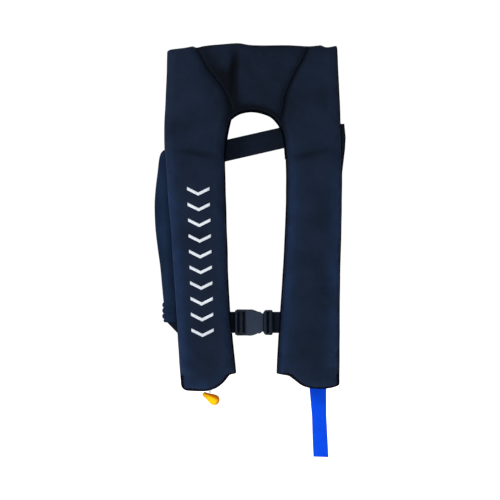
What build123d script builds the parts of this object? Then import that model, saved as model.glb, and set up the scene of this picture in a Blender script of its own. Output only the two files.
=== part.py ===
from build123d import *
import math
import os

# Inflatable life jacket, seen as worn. Millimetres. X to the viewer's right, Y to the wearer's back, Z up.
# The origin is the centre of the neck opening, in the plane of the inner cover that lies on the wearer.
# "Left" and "right" in the names are as seen from the front.

# ---- cover: a horseshoe of two sewn trays, open between them along a seam at mid depth
COVER_FRONT = -42.0
COVER_SEAM = -20.0
COVER_BACK = 0.0
CLOTH = 1.6
FLAP_GAP = 0.4
HINGE_Z = -243.5
HINGE_GAP = 0.6

# ---- webbing
WEB_WIDTH = 38.0
WEB_THICK = 1.8
RISER_Y = 2.7
BELT_Y = RISER_Y + WEB_THICK
BELT_SLOPE = 0.229
TAIL_CLEAR = 0.3
BELT_Z = -326.5

# ---- side release buckle on the waist belt
BUCKLE_Y = (0.4, 10.4)
BUCKLE_PLATE = 2.6
FEMALE_X = (-36.4, 14.4)
MALE_X = (14.8, 32.4)
PRONG_PIVOT = (12.0, 13.0)
PRONG_Y = (3.3, 7.5)

# ---- inflator, in the lower left lobe
INFLATOR_X = -102.0
INNER_Y = -26.5
BARREL_R = 12.5
BARREL_TOP = -384.0
NECK_R = 4.75
RUNNING = 0.05
CYLINDER_R = 12.4
CYLINDER_TOP = -262.0
LEVER_PIVOT_Z = -419.0
LEVER_THICK = 4.0
LEVER_SWING = 70.0
LEVER_REACH = 21.0
CAM_LOW = 8.8
PIN_TRAVEL = 4.0
PIN_R = 2.0
PORT_X = -124.0
PORT_Z = -402.0

# ---- pull cord and toggle
CORD_X = INFLATOR_X + LEVER_REACH
CORD_R = 1.5
CORD_TOP = -411.0
CORD_END = -451.5
TOGGLE_NARROW = (-89.5, -455.6)
TOGGLE_WIDE = (-71.5, -463.9)
TOGGLE_NARROW_R = 4.6
TOGGLE_WIDE_R = 10.0

# ---- oral tube and whistle, in the lower right lobe
ORAL_X = 105.0
ORAL_BASE_Z = -404.0
MOUTH_LOW = -300.0
MOUTH_TOP = -276.0
WHISTLE_X = 72.0
WHISTLE_Z = (-362.0, -314.0)

# ---- bladder, folded behind the fittings
BLADDER_BACK = -COVER_BACK - CLOTH - 0.1
BLADDER_THIN = -12.5
BLADDER_THICK = -36.0
BLADDER_SPLIT_Z = -236.0

# ---- reflective marks down the left lobe
MARK_COUNT = 10
MARK_TOP = (-101.5, -89.0)
MARK_STEP = (0.85, -28.1)
MARK_WIDTH = 40.0
MARK_STROKE = 5.6
MARK_DROP = 10.0
MARK_THICK = 0.5

# ---- pull strap under the right lobe
STRAP_BEND_Z = -450.5
STRAP_GAP = 1.2
STRAP_END_Z = -567.0

parts = {}


def slab(face, y_front, y_back):
    """A face drawn in X and Z, made solid from y_front to y_back."""
    return Pos(0, y_back, 0) * Rot(90, 0, 0) * extrude(face, amount=y_back - y_front)


def polygon(*points):
    """A closed face through (x, z) points."""
    return make_face(Polyline(*points, close=True).edges())


def box(x, y, z):
    """A block from its (low, high) pairs."""
    size = Box(x[1] - x[0], y[1] - y[0], z[1] - z[0])
    return Pos(sum(x) / 2, sum(y) / 2, sum(z) / 2) * size


def rod(radius, x, y, z_low, z_high):
    """An upright round bar."""
    return Pos(x, y, (z_low + z_high) / 2) * Cylinder(radius, z_high - z_low)


def cross_rod(radius, x, z, y_front, y_back):
    """A round bar that runs from front to back."""
    return Pos(x, (y_front + y_back) / 2, z) * Rot(90, 0, 0) * Cylinder(radius, y_back - y_front)


def tube(outer, inner, x, y, z_low, z_high):
    """An upright tube."""
    return rod(outer, x, y, z_low, z_high) - rod(inner, x, y, z_low - 1, z_high + 1)


def coil(radius, wire, x, y, z_low, z_high, turns):
    """A compression spring of round wire between two levels."""
    height = z_high - z_low - 2 * wire
    line = Helix(pitch=height / turns, height=height, radius=radius)
    section = Plane(origin=line @ 0, z_dir=line % 0) * Circle(wire)
    return Pos(x, y, z_low + wire) * sweep(section, path=line, is_frenet=True)


# ---- outline of the horseshoe

LEFT_SEAM = [(-111, 174), (-88, 137), (-56, 99), (-44, 70), (-42, 40)]
RIGHT_SEAM = [(97, 175.8), (90, 155), (74, 126), (57, 96), (51, 67), (43, 32)]


def horseshoe():
    """The whole outline: collar, two lobes and the neck opening between them."""
    top = [(-162, 75), (-158, 166), (-111, 174), (-34, 179.5), (122, 175), (148.5, 174)]
    right = [(155, 40), (158, -50), (155, -205), (151.5, -434), (143, -443), (97, -443)]
    inside_right = [(60, -421), (36, -417), (40, -365), (47, -280)]
    inside_right += [(54, -158), (56, -77), (55, -7), (43, 32)]
    inside_left = [(-42, 40), (-50, 9), (-54, -32), (-52, -104)]
    inside_left += [(-47, -266), (-40, -356), (-33, -416), (-46, -419)]
    left = [(-84, -446), (-127, -446), (-134, -437), (-148, -232), (-157, -115), (-164, -8), (-162, 75)]
    edges = Polyline(*top, *right).edges()
    edges += [ThreePointArc(right[-1], (76, -436.5), inside_right[0])]
    edges += Polyline(*inside_right).edges()
    edges += [ThreePointArc(inside_right[-1], (1, 53), inside_left[0])]
    edges += Polyline(*inside_left).edges()
    edges += [ThreePointArc(inside_left[-1], (-60, -436), left[0])]
    edges += Polyline(*left).edges()
    return make_face(edges)


OUTLINE = horseshoe()
INNER = offset(OUTLINE, amount=-CLOTH)
RIM = OUTLINE - INNER

collar_zone = polygon((-111, 200), *LEFT_SEAM, (0, 20), *reversed(RIGHT_SEAM), (97, 200))
side_zone = {"left": polygon((-200, 200), (0, 200), (0, -480), (-200, -480)),
             "right": polygon((0, 200), (200, 200), (200, -480), (0, -480))}


def band_zone(z_low, z_high):
    """Everything between two levels."""
    return polygon((-200, z_low), (200, z_low), (200, z_high), (-200, z_high))


def tray(zone, y_face, y_skin, y_seam):
    """One sewn panel: its face, from y_face to y_skin, and its side walls up to the seam."""
    face = slab(OUTLINE & zone, *sorted((y_face, y_skin)))
    wall = slab(RIM & zone, *sorted((y_skin, y_seam)))
    return face + wall


def front_panel(zone, y_seam=COVER_SEAM):
    return tray(zone, COVER_FRONT, COVER_FRONT + CLOTH, y_seam)


def back_panel(zone):
    return tray(zone, COVER_BACK, COVER_BACK - CLOTH, COVER_SEAM)


upper_zone = band_zone(HINGE_Z + HINGE_GAP / 2, 220)
lower_zone = band_zone(-480, HINGE_Z - HINGE_GAP / 2)
cord_notch = box((CORD_X - 4, CORD_X + 4), (INNER_Y - 5, COVER_SEAM + 1), (-470, -435))

parts["collar_front_cover"] = front_panel(collar_zone)
parts["collar_back_cover"] = back_panel(collar_zone)
for side, zone in side_zone.items():
    parts[f"{side}_front_cover"] = front_panel((zone & upper_zone) - collar_zone)
    parts[f"{side}_back_cover"] = back_panel(zone - collar_zone)
    parts[f"{side}_flap"] = front_panel(zone & lower_zone, COVER_SEAM - FLAP_GAP)
parts["left_flap"] -= cord_notch

neck_edge = offset(OUTLINE, amount=1.5) - OUTLINE
parts["neck_binding"] = slab(neck_edge & polygon((-70, -60), (70, -60), (70, 60), (-70, 60)), -24, -16)

# ---- burst closure: a loop strip stands up from the inner cover, a hook strip lines each flap
HOOK_THICK = 0.8
STRIP_SLIT = 0.35
hook_out = CLOTH
loop_out = hook_out + HOOK_THICK + STRIP_SLIT
LOOP_THICK = 1.0
HOOK_FRONT = -36.0
LOOP_LIP_FRONT = -28.0
LOOP_FOOT_FRONT = COVER_SEAM + 0.4
LOOP_FOOT_BACK = -12.0


def ring(near, far):
    """A band inside the outline, from near to far millimetres in from its edge."""
    return offset(OUTLINE, amount=-near) - offset(OUTLINE, amount=-far)


closure_zone = {"left": polygon((-170, -280), (-120, -280), (-120, -405), (-170, -405)),
                "right": polygon((170, -280), (120, -280), (120, -405), (170, -405))}
for side, zone in closure_zone.items():
    hook_band = ring(hook_out, hook_out + HOOK_THICK) & zone
    parts[f"{side}_hook_strip"] = slab(hook_band, HOOK_FRONT, COVER_SEAM - FLAP_GAP)
    foot = slab(ring(CLOTH, loop_out + LOOP_THICK) & zone, LOOP_FOOT_FRONT, LOOP_FOOT_BACK)
    lip = slab(ring(loop_out, loop_out + LOOP_THICK) & zone, LOOP_LIP_FRONT, LOOP_FOOT_FRONT)
    parts[f"{side}_loop_strip"] = foot + lip

# ---- bladder, folded
FOLD_IN = offset(OUTLINE, amount=-6)
parts["bladder_collar"] = slab(FOLD_IN & band_zone(BLADDER_SPLIT_Z, 220), BLADDER_THICK, BLADDER_BACK)
for side, zone in side_zone.items():
    lobe = FOLD_IN & zone & band_zone(-480, BLADDER_SPLIT_Z)
    parts[f"bladder_{side}"] = slab(lobe, BLADDER_THIN, BLADDER_BACK)


# ---- inflator

def inflator_body():
    """Upright barrel with a fork for the lever, and a side block over the bladder's valve stem."""
    barrel = rod(BARREL_R, INFLATOR_X, INNER_Y, LEVER_PIVOT_Z - 13, BARREL_TOP)
    block = box((PORT_X - 7, INFLATOR_X), (-33, -15), (PORT_Z - 10, PORT_Z + 8))
    boss = rod(5.5, PORT_X, -24, PORT_Z - 19, PORT_Z - 10)
    body = barrel + block + boss
    body -= rod(NECK_R + RUNNING, INFLATOR_X, INNER_Y, BARREL_TOP - 10, BARREL_TOP + 1)
    body -= rod(3.5, INFLATOR_X, INNER_Y, BARREL_TOP - 20, BARREL_TOP - 9)
    body -= rod(PIN_R + 0.03, INFLATOR_X, INNER_Y, BARREL_TOP - 22, BARREL_TOP - 19)
    fork = LEVER_THICK / 2 + 0.35
    slot = (BARREL_TOP - 50, BARREL_TOP - 21)
    body -= box((INFLATOR_X - 14, INFLATOR_X + 14), (INNER_Y - fork, INNER_Y + fork), slot)
    body -= cross_rod(1.5, INFLATOR_X, LEVER_PIVOT_Z, -45, -5)
    body -= rod(4.1, PORT_X, -24, PORT_Z - 20, PORT_Z - 11)
    body -= cross_rod(4.0, PORT_X, PORT_Z, -40, -10)
    return body


def manual_lever():
    """Bell crank: a rising cam under the firing pin and an arm out to the pull cord."""
    start, stop, steps = -18.0, 80.0, 6
    rise = PIN_TRAVEL / LEVER_SWING
    cam = []
    for k in range(steps + 1):
        turn = start + (stop - start) * k / steps
        radius = CAM_LOW + rise * turn
        angle = math.radians(90 + turn)
        cam.append((radius * math.cos(angle), radius * math.sin(angle)))
    lobe = make_face([Spline(*cam), Line(cam[-1], (0, -4.5)), Line((0, -4.5), cam[0])])
    slope = LEVER_SWING / 2
    length = LEVER_REACH / math.cos(math.radians(slope))
    arm = Rot(0, 0, slope) * (Pos(length / 2, 0) * SlotCenterToCenter(length, 7.5))
    eye = Pos(LEVER_REACH, LEVER_REACH * math.tan(math.radians(slope))) * Circle(1.8)
    shape = lobe + arm + Circle(5) - eye - Circle(1.5 + RUNNING)
    flat = Pos(INFLATOR_X, LEVER_PIVOT_Z) * shape
    return slab(flat, INNER_Y - LEVER_THICK / 2, INNER_Y + LEVER_THICK / 2)


def firing_pin():
    """Round pin with a collar for its spring and a short point."""
    foot = LEVER_PIVOT_Z + CAM_LOW + 0.6
    pin = rod(PIN_R, INFLATOR_X, INNER_Y, foot, BARREL_TOP - 9)
    collar = rod(3.3, INFLATOR_X, INNER_Y, BARREL_TOP - 19.6, BARREL_TOP - 18.4)
    point = Pos(INFLATOR_X, INNER_Y, BARREL_TOP - 8) * Cone(PIN_R, 0.3, 2)
    return pin + collar + point


def revolved(points, x, y):
    """A turned part from (radius, z) points, round an upright axis."""
    face = make_face(Polyline(*points, close=True).edges())
    return Pos(x, y, 0) * revolve(Plane.XZ * face, Axis.Z)


def co2_cylinder():
    """Gas cylinder, neck down, with a rounded end and an open seal for the pin."""
    low = BARREL_TOP - 9.5
    shoulder = BARREL_TOP + 26
    profile = [(2.6, low), (NECK_R, low), (NECK_R, shoulder - 14), (8.5, shoulder - 9), (CYLINDER_R, shoulder)]
    profile += [(CYLINDER_R, CYLINDER_TOP - 10), (11.2, CYLINDER_TOP - 4.5), (8.0, CYLINDER_TOP - 1.2)]
    profile += [(0, CYLINDER_TOP), (0, shoulder - 18), (2.6, shoulder - 18)]
    return revolved(profile, INFLATOR_X, INNER_Y)


def auto_cap():
    """Screw cup over the water cartridge, with a grip ring."""
    cup = rod(7.2, PORT_X, -24, PORT_Z - 29, PORT_Z - 12)
    cup -= rod(5.5 + RUNNING, PORT_X, -24, PORT_Z - 26, PORT_Z - 11)
    for k in range(8):
        turn = math.radians(45 * k)
        cup -= rod(0.9, PORT_X + 7.6 * math.cos(turn), -24 + 7.6 * math.sin(turn), PORT_Z - 27, PORT_Z - 14)
    return cup


parts["inflator_body"] = inflator_body()
parts["manual_lever"] = manual_lever()
parts["lever_pin"] = cross_rod(1.5, INFLATOR_X, LEVER_PIVOT_Z, INNER_Y - 11, INNER_Y + 11)
parts["firing_pin"] = firing_pin()
parts["firing_pin_spring"] = coil(2.9, 0.35, INFLATOR_X, INNER_Y, BARREL_TOP - 18.2, BARREL_TOP - 10.2, 5)
parts["co2_cylinder"] = co2_cylinder()
parts["auto_cap"] = auto_cap()
parts["water_cartridge"] = rod(4.0, PORT_X, -24, PORT_Z - 18.6, PORT_Z - 11.2)
stem = cross_rod(3.9, PORT_X, PORT_Z, -35.5, -14) + cross_rod(10, PORT_X + 3.5, PORT_Z, -14.3, BLADDER_THIN)
parts["valve_stem"] = stem
nut = Pos(PORT_X, -35.3, PORT_Z) * Rot(90, 0, 0) * extrude(RegularPolygon(6.4, 6), amount=4, both=True)
nut = nut & box((PORT_X - 8, PORT_X + 8), (-38.5, -33), (PORT_Z - 8, PORT_Z + 8))
parts["cap_nut"] = nut - cross_rod(3.95, PORT_X, PORT_Z, -36, -30)
window = cross_rod(3.0, INFLATOR_X, BARREL_TOP - 8, -39.6, -38.2)
parts["status_indicator"] = window - rod(BARREL_R, INFLATOR_X, INNER_Y, BARREL_TOP - 14, BARREL_TOP)


# ---- pull cord and teardrop toggle

def pull_toggle():
    """Teardrop grip: a small ball and a large ball joined by their common cone."""
    run = math.dist(TOGGLE_NARROW, TOGGLE_WIDE)
    lean = math.asin((TOGGLE_WIDE_R - TOGGLE_NARROW_R) / run)
    near = (-TOGGLE_NARROW_R * math.sin(lean), TOGGLE_NARROW_R * math.cos(lean))
    far = (run - TOGGLE_WIDE_R * math.sin(lean), TOGGLE_WIDE_R * math.cos(lean))
    edges = [ThreePointArc((-TOGGLE_NARROW_R, 0), (-TOGGLE_NARROW_R * 0.8, TOGGLE_NARROW_R * 0.6), near)]
    edges += [Line(near, far), ThreePointArc(far, (run + TOGGLE_WIDE_R * 0.6, TOGGLE_WIDE_R * 0.8),
                                             (run + TOGGLE_WIDE_R, 0))]
    edges += [Line((run + TOGGLE_WIDE_R, 0), (-TOGGLE_NARROW_R, 0))]
    drop = revolve(make_face(edges), Axis.X)
    fall = math.degrees(math.atan2(TOGGLE_WIDE[1] - TOGGLE_NARROW[1], TOGGLE_WIDE[0] - TOGGLE_NARROW[0]))
    return Pos(TOGGLE_NARROW[0], INNER_Y, TOGGLE_NARROW[1]) * Rot(0, -fall, 0) * drop


parts["pull_cord"] = rod(CORD_R, CORD_X, INNER_Y, CORD_END, CORD_TOP)
parts["pull_toggle"] = pull_toggle() - rod(CORD_R, CORD_X, INNER_Y, CORD_END, CORD_END + 20)


# ---- oral tube, its valve and dust cap, and the whistle

def oral_tube():
    """Moulded flange, elbow and upright tube."""
    flange = cross_rod(17, ORAL_X, ORAL_BASE_Z, BLADDER_THIN - 2, BLADDER_THIN)
    elbow = box((ORAL_X - 9, ORAL_X + 9), (-35.5, BLADDER_THIN - 2), (ORAL_BASE_Z - 9, ORAL_BASE_Z + 9))
    pipe = rod(6.9, ORAL_X, INNER_Y, ORAL_BASE_Z, MOUTH_LOW + 8)
    return flange + elbow + pipe - rod(5, ORAL_X, INNER_Y, ORAL_BASE_Z - 4, MOUTH_LOW + 9)


def oral_mouthpiece():
    """Hard collar on the tube, with a web that guides the valve's stem."""
    shell = rod(8.5, ORAL_X, INNER_Y, MOUTH_LOW, MOUTH_TOP)
    shell -= rod(7.0, ORAL_X, INNER_Y, MOUTH_LOW - 1, MOUTH_LOW + 8)
    shell -= rod(5.5, ORAL_X, INNER_Y, MOUTH_LOW + 7, MOUTH_LOW + 9)
    shell -= rod(5.5, ORAL_X, INNER_Y, MOUTH_LOW + 11, MOUTH_TOP + 1)
    shell -= rod(1.55, ORAL_X, INNER_Y, MOUTH_LOW + 8, MOUTH_LOW + 12)
    for k in range(4):
        turn = math.radians(90 * k)
        shell -= rod(1.2, ORAL_X + 3.6 * math.cos(turn), INNER_Y + 3.6 * math.sin(turn),
                     MOUTH_LOW + 8, MOUTH_LOW + 12)
    return shell


def valve_poppet():
    """Stem with a sealing disc under the web and a button above it."""
    disc = rod(4.4, ORAL_X, INNER_Y, MOUTH_LOW + 6.8, MOUTH_LOW + 8.6)
    stem_bar = rod(1.5, ORAL_X, INNER_Y, MOUTH_LOW + 8, MOUTH_LOW + 21.5)
    button = rod(3.6, ORAL_X, INNER_Y, MOUTH_LOW + 21, MOUTH_LOW + 22.6)
    return disc + stem_bar + button


def whistle():
    """Flat pealess whistle with a mouth slit, a notch and a lanyard hole."""
    low, top = WHISTLE_Z
    body = box((WHISTLE_X - 8, WHISTLE_X + 8), (-31, -19), WHISTLE_Z)
    body = fillet(body.edges().filter_by(Axis.Z), 2.5)
    body -= box((WHISTLE_X - 5.5, WHISTLE_X + 5.5), (-26.6, -23.4), (low + 14, top + 1))
    body -= Pos(WHISTLE_X, -31, low + 22) * Rot(40, 0, 0) * Box(11, 7, 6)
    return body - cross_rod(2, WHISTLE_X, low + 5, -35, -15)


parts["oral_tube"] = oral_tube()
parts["oral_mouthpiece"] = oral_mouthpiece()
parts["valve_poppet"] = valve_poppet()
parts["valve_spring"] = coil(2.6, 0.35, ORAL_X, INNER_Y, MOUTH_LOW + 11.1, MOUTH_LOW + 20.9, 6)
cap = rod(10.2, ORAL_X, INNER_Y, MOUTH_TOP - 11, MOUTH_TOP + 3)
parts["dust_cap"] = cap - rod(8.5 + RUNNING, ORAL_X, INNER_Y, MOUTH_TOP - 12, MOUTH_TOP + 1)
parts["whistle"] = whistle()
loop = box((WHISTLE_X - 10, WHISTLE_X + 10), (-33, BLADDER_THIN), (-358, -345))
parts["whistle_loop"] = loop - box((WHISTLE_X - 8.4, WHISTLE_X + 8.4), (-31.4, BLADDER_THIN - 1), (-360, -340))

# ---- waist belt: a flat loop behind the cover, closed by the buckle between the lobes

back_end = BELT_SLOPE * -164
back_belt = polygon((-164, back_end - 20), (161, BELT_SLOPE * 161 - 20), (161, 33), (140, 52),
                    (-164, back_end + 20))
parts["back_belt"] = slab(back_belt, BELT_Y, BELT_Y + WEB_THICK)
riser = polygon((161, 33), (161, -7), (157, -50), (151, -200), (149, -345),
                (111, -345), (113, -200), (119, -50), (123, -7), (123, 33))
parts["right_side_belt"] = slab(riser, RISER_Y, BELT_Y)
side_line = [(-166, -14), (-176, -55), (-180, -115), (-178, -154), (-170, -223), (-165, -289)]
side_belt = make_face([Spline(*side_line), Line(side_line[-1], (-127, -289)),
                       Polyline((-127, -289), (-131, -223), (-140, -154), (-142, -115), (-138, -55),
                                (-130, -14)),
                       Line((-130, -14), side_line[0])])
parts["left_side_belt"] = slab(side_belt, RISER_Y, BELT_Y)
belt_low, belt_high = BELT_Z - WEB_WIDTH / 2, BELT_Z + WEB_WIDTH / 2
front_belt = polygon((-165, -287), (-165, -322), (-142, belt_low), (-18.5, belt_low), (-18.5, belt_high),
                     (-122, belt_high), (-127, -287))
parts["left_front_belt"] = slab(front_belt, BELT_Y, BELT_Y + WEB_THICK)


def gathered_sleeve():
    """Shirred sleeve over the fold of the belt: a stack of rounded gathers."""
    levels = (-293, -301, -309.5, -317.5)
    outer = polygon((-165, -288), (-165, -322), (-146, -324), (-146, -288))
    for level in levels:
        outer += Pos(-164, level) * Ellipse(5.5, 4.6)
    sleeve = slab(outer, 0.6, 8.4)
    return sleeve - box((-166, -140), (RISER_Y - 0.2, BELT_Y + WEB_THICK + 0.2), (-330, -280))


parts["gathered_sleeve"] = gathered_sleeve()
tail_y = (BELT_Y + WEB_THICK + TAIL_CLEAR, BELT_Y + 2 * WEB_THICK + TAIL_CLEAR)
parts["belt_free_tail"] = box((-104, -39), tail_y, (belt_low, belt_high))


# ---- buckle

def female_buckle():
    """Receiver: two plates on a rear block, and a slotted frame for the webbing."""
    half = [(-36.4, 21.5), (-32, 23.8), (-4, 23.6), (4, 20.5), (10, 17.4), (14.4, 16.7)]
    mirrored = [(x, -z) for x, z in reversed(half)]
    shape = Pos(0, BELT_Z) * polygon(*half, *mirrored)
    frame_only = shape & polygon((-40, -400), (-18, -400), (-18, -250), (-40, -250))
    housing = shape & polygon((-18, -400), (20, -400), (20, -250), (-18, -250))
    block = housing & polygon((-18, -400), (-11, -400), (-11, -250), (-18, -250))
    opening = Pos(0, BELT_Z) * (Pos(-30.6, 0) * Rectangle(3.8, 39) + Pos(-20.6, 0) * Rectangle(4.0, 39))
    bars = slab(frame_only - opening, BUCKLE_Y[0], RISER_Y + 1.5)
    rails = frame_only - polygon((-40, belt_low - 0.5), (-18, belt_low - 0.5),
                                 (-18, belt_high + 0.5), (-40, belt_high + 0.5))
    body = bars + slab(rails, *BUCKLE_Y) + slab(block, *BUCKLE_Y)
    body += slab(housing, BUCKLE_Y[0], BUCKLE_Y[0] + BUCKLE_PLATE)
    body += slab(housing, BUCKLE_Y[1] - BUCKLE_PLATE, BUCKLE_Y[1])
    return body - box((-19, -18), (BELT_Y, BELT_Y + WEB_THICK), (belt_low, belt_high))


def male_buckle():
    """Plug: a slotted base for the webbing, and a guide tongue."""
    half = [(14.8, 16.7), (17, 20.5), (19.5, 22.6), (30.4, 22.9), (32.4, 21)]
    mirrored = [(x, -z) for x, z in reversed(half)]
    shape = Pos(0, BELT_Z) * polygon(*half, *mirrored)
    solid_part = shape & polygon((14, -400), (20.5, -400), (20.5, -250), (14, -250))
    frame_part = shape - solid_part - Pos(24, BELT_Z) * Rectangle(4, 39)
    rails = (shape - solid_part) - Pos(30, BELT_Z) * Rectangle(40, 39)
    body = slab(solid_part, *BUCKLE_Y) + slab(frame_part, BUCKLE_Y[0], RISER_Y + 1.8) + slab(rails, *BUCKLE_Y)
    tongue = box((-8, MALE_X[0] + 1), PRONG_Y, (BELT_Z - 4, BELT_Z + 4))
    return body + tongue


def prong(sign):
    """Spring arm with a head that is squeezed towards the middle; sign is 1 above, -1 below."""
    x, z = PRONG_PIVOT
    arm = [(x, z - 2.4), (x, z + 2.4), (2, 16.6), (2, 20.4), (-3, 21.6), (-8, 17), (-8, 12.4), (-2, 11.2)]
    shape = polygon(*arm) + Pos(x, z) * Circle(2.5)
    flat = Pos(0, BELT_Z) * (shape if sign > 0 else mirror(shape, Plane.XZ))
    return slab(flat, *PRONG_Y)


parts["female_buckle"] = female_buckle()
parts["male_buckle"] = male_buckle()
parts["upper_prong"] = prong(1)
parts["lower_prong"] = prong(-1)
male_belt = box((26, 106), (BELT_Y + TAIL_CLEAR, BELT_Y + TAIL_CLEAR + WEB_THICK), (belt_low, belt_high))
parts["right_front_belt"] = male_belt


# ---- keepers that hold the belt on the inner cover

def keeper(x, z, turn, width=22):
    """Flat webbing band round the belt; turn is the belt's direction in degrees."""
    outer = Box(width, 9.9, WEB_WIDTH + 6)
    inner = Box(width + 2, 8.9, WEB_WIDTH + 1.6)
    band = Pos(0, 4.95, 0) * outer - Pos(0, 4.45, 0) * inner
    foot = Pos(0, 0.25, 0) * Box(width, 0.5, WEB_WIDTH + 6)
    return Pos(x, 0, z) * Rot(0, -turn, 0) * (band + foot)


back_turn = math.degrees(math.atan(BELT_SLOPE))
keeper_places = [(-96, BELT_Z, 0), (86, BELT_Z, 0), (134, -150, 87.7),
                 (-95, BELT_SLOPE * -95, back_turn), (90, BELT_SLOPE * 90, back_turn)]
for number, place in enumerate(keeper_places, start=1):
    parts[f"belt_keeper_{number}"] = keeper(*place)


# ---- reflective chevrons down the left lobe

def chevron(index):
    """One mark: two strokes that meet at a point."""
    x = MARK_TOP[0] + MARK_STEP[0] * index
    z = MARK_TOP[1] + MARK_STEP[1] * index
    half, drop, stroke = MARK_WIDTH / 2, MARK_DROP, MARK_STROKE
    high, low = (drop + stroke) / 2, (drop - stroke) / 2
    shape = polygon((-half, high), (0, -low), (half, high), (half, low), (0, -high), (-half, low))
    return Pos(x, z) * shape


def mark_row(first, last):
    """Marks first to last, as thin separate plates on the cover."""
    plates = [slab(chevron(k), COVER_FRONT - MARK_THICK, COVER_FRONT) for k in range(first, last)]
    return Compound(children=plates)


parts["upper_marks"] = mark_row(0, 6)
parts["lower_marks"] = mark_row(6, MARK_COUNT)

# ---- blue pull strap under the right lobe

strap_y = (0.3, 2.1)
anchor_end = STRAP_BEND_Z + STRAP_GAP
anchor = polygon((94.7, -376), (124.8, -376), (127.9, anchor_end), (98, anchor_end))
parts["pull_strap_anchor"] = slab(anchor, *strap_y)
hanging = polygon((98.1, STRAP_BEND_Z), (128, STRAP_BEND_Z), (131.4, STRAP_END_Z), (105.3, STRAP_END_Z))
parts["pull_strap"] = slab(hanging, *strap_y)
patch = polygon((93, -372), (126.6, -372), (127.8, -402), (94.2, -402))
parts["strap_patch"] = slab(patch, strap_y[1], strap_y[1] + 1.2)

os.makedirs("parts", exist_ok=True)
for name, solid in parts.items():
    export_step(solid, f"parts/{name}.step")
print("pull cord", round(parts["pull_cord"].volume), "mm3")
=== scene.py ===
import math

import bpy
import numpy as np
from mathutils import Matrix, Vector, noise
from mathutils.bvhtree import BVHTree
from mathutils.geometry import delaunay_2d_cdt


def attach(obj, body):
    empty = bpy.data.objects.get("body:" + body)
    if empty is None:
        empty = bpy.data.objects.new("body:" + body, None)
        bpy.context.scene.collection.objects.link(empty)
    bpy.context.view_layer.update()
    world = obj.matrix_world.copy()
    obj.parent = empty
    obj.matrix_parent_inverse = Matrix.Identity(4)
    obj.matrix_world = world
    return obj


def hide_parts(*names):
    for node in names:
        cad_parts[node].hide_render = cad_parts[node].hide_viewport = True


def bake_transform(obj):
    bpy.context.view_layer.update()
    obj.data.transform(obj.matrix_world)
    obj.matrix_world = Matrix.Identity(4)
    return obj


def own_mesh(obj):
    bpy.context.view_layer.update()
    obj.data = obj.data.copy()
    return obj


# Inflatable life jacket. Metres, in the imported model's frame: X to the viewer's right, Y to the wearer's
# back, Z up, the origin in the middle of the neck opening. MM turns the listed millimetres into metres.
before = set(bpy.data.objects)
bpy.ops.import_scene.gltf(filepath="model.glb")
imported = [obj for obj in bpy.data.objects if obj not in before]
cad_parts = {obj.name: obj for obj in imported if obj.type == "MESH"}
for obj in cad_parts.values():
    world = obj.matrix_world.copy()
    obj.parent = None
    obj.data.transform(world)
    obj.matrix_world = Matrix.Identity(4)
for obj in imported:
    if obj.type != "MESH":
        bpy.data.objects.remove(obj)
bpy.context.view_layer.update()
scene = bpy.context.scene
MM = 0.001

# ---- camera, stage and light ----

VIEW_WIDTH = 0.9
VIEW_CENTRE = (-0.009, -0.194)
VIEW_FRONT_Y = -0.03
LENS = 85.0
SENSOR = 36.0
FLOOR_Z = -0.70
FLOOR_HALF = 6.0
AMBIENT = 0.42
BACKDROP = 1.02
LAMP_TARGET = (0, 0, -0.2)
LAMPS = {"key": ((-1.5, -1.5, 1.3), 0.9, 46), "fill": ((1.9, -1.3, 0.2), 1.4, 12),
         "back": ((0.6, 2.2, 1.0), 1.6, 26)}


def add(name, data):
    """A new object in the scene."""
    obj = bpy.data.objects.new(name, data)
    scene.collection.objects.link(obj)
    return obj


def make_camera():
    data = bpy.data.cameras.new("camera")
    data.lens = LENS
    data.sensor_width = SENSOR
    camera = add("camera", data)
    distance = VIEW_WIDTH * LENS / SENSOR
    camera.location = (VIEW_CENTRE[0], VIEW_FRONT_Y - distance, VIEW_CENTRE[1])
    camera.rotation_euler = (math.radians(90), 0, 0)
    scene.camera = camera


def area_light(name, place, size, power):
    data = bpy.data.lights.new(name, "AREA")
    data.shape = "DISK"
    data.size = size
    data.energy = power
    lamp = add(name, data)
    lamp.location = place
    lamp.rotation_euler = (Vector(LAMP_TARGET) - Vector(place)).to_track_quat("-Z", "Y").to_euler()


def make_stage():
    world = bpy.data.worlds.new("studio")
    scene.world = world
    world.use_nodes = True
    tree = world.node_tree
    back = tree.nodes["Background"]
    back.inputs["Color"].default_value = (1, 1, 1, 1)
    rays = tree.nodes.new("ShaderNodeLightPath")
    strength = tree.nodes.new("ShaderNodeMapRange")
    strength.inputs["To Min"].default_value = AMBIENT
    strength.inputs["To Max"].default_value = BACKDROP
    tree.links.new(rays.outputs["Is Camera Ray"], strength.inputs["Value"])
    tree.links.new(strength.outputs["Result"], back.inputs["Strength"])
    scene.view_settings.view_transform = "Standard"
    mesh = bpy.data.meshes.new("floor")
    corners = [(x * FLOOR_HALF, y * FLOOR_HALF, FLOOR_Z) for x, y in ((-1, -1), (1, -1), (1, 1), (-1, 1))]
    mesh.from_pydata(corners, [], [(0, 1, 2, 3)])
    paint = bpy.data.materials.new("floor_white")
    paint.use_nodes = True
    shader = paint.node_tree.nodes["Principled BSDF"]
    for socket, value in {"Base Color": (0.9, 0.9, 0.9, 1), "Roughness": 1.0, "Specular IOR Level": 0.0,
                          "Emission Color": (1, 1, 1, 1), "Emission Strength": 0.66}.items():
        shader.inputs[socket].default_value = value
    mesh.materials.append(paint)
    add("floor", mesh)
    for name, (place, size, power) in LAMPS.items():
        area_light(name, place, size, power)


make_camera()
make_stage()

# ---- materials ----


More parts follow.
